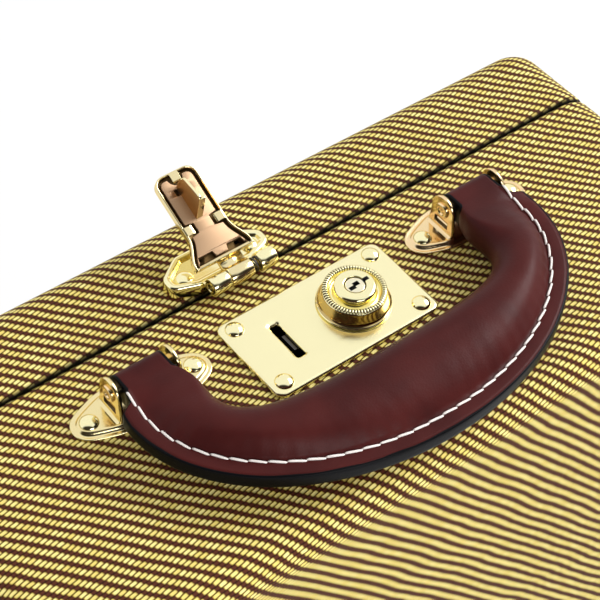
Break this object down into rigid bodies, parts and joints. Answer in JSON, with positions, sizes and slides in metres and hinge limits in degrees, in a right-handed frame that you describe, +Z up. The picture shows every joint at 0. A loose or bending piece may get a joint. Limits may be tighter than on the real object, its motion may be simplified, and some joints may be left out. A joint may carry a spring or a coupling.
{
  "type": "harmonica case",
  "caption": "Small hard case for harmonicas, covered in tweed, with a hinged lid, a sprung hasp latch, a sliding lock and a swinging leather handle on the seam side.",
  "frame": {"origin": "middle of the case's footprint, on the surface that its feet stand on", "axes": "+X along the seam, from the latch slot towards the knob; +Y from the base half to the lid half; +Z up, towards the handle side"},
  "size_m": [0.26, 0.117, 0.2369],
  "materials": {
    "tweed": "woven twill of yellow threads in slanted stripes on dark brown, lacquered",
    "board": "plain sawn board",
    "plush": "short pile plush",
    "gold": "polished pale gold plating",
    "rose_gold": "polished warm gold plating",
    "steel": "plain steel",
    "spring_steel": "blackened spring wire",
    "leather": "smooth oxblood leather, black painted edge, white stitching",
    "padding": "felt padding",
    "foot_rubber": "moulded rubber"
  },
  "bodies": {
    "base": {"base_panel": "board", "base_walls": "board", "base_tweed": "tweed", "base_lining": "plush", "base_tongue": "plush", "rack_block": "plush", "rack_dividers": "plush", "rack_rails": "plush", "partition": "plush", "feet": "foot_rubber", "foot_nails": "gold", "hinge_base_leaf_left": "gold", "hinge_base_leaf_right": "gold", "hinge_base_rivets": "gold", "hinge_pins": "gold", "lock_plate": "gold", "lock_rivets": "gold", "lock_case": "steel", "bolt_spring": "spring_steel", "handle_mount_left": "rose_gold", "handle_mount_right": "rose_gold", "handle_mount_rivets": "gold", "handle_pins": "rose_gold"},
    "lid": {"lid_panel": "board", "lid_walls": "board", "lid_tweed": "tweed", "lid_lining": "plush", "lid_pad": "plush", "hinge_lid_leaf_left": "gold", "hinge_lid_leaf_right": "gold", "hinge_lid_rivets": "gold", "latch_bracket": "gold", "latch_rivets": "gold", "latch_pin": "gold", "latch_spring": "spring_steel"},
    "hasp": {"hasp_cover": "gold", "hasp_backing": "rose_gold"},
    "knob": {"knob_body": "gold", "knob_ring": "gold", "bolt": "steel"},
    "key": {"key_plug": "gold", "key_cam": "steel"},
    "handle": {"handle_leather": "leather", "handle_core": "padding", "handle_strap": "steel"}
  },
  "joints": [
    {"name": "lid_hinge", "type": "hinge", "parent": "base", "child": "lid", "pos_m": [0, 0.0265, 0.0056], "axis": [-1, 0, 0], "range_deg": [0, 105]},
    {"name": "hasp_hinge", "type": "hinge", "parent": "lid", "child": "hasp", "pos_m": [0, 0.0235, 0.2135], "axis": [1, 0, 0], "range_deg": [0, 155], "stiffness_Nm_per_rad": 0.004, "springref_deg": -28.65},
    {"name": "knob_slide", "type": "slide", "parent": "base", "child": "knob", "axis": [1, 0, 0], "range_m": [-0.002, 0.0045], "stiffness_N_per_m": 400},
    {"name": "key_turn", "type": "hinge", "parent": "knob", "child": "key", "pos_m": [0.009, -0.0018, 0.208], "axis": [0, 0, 1], "range_deg": [0, 90]},
    {"name": "handle_pivot", "type": "hinge", "parent": "base", "child": "handle", "pos_m": [0, 0.006, 0.2172], "axis": [-1, 0, 0], "range_deg": [0, 135]}
  ]
}
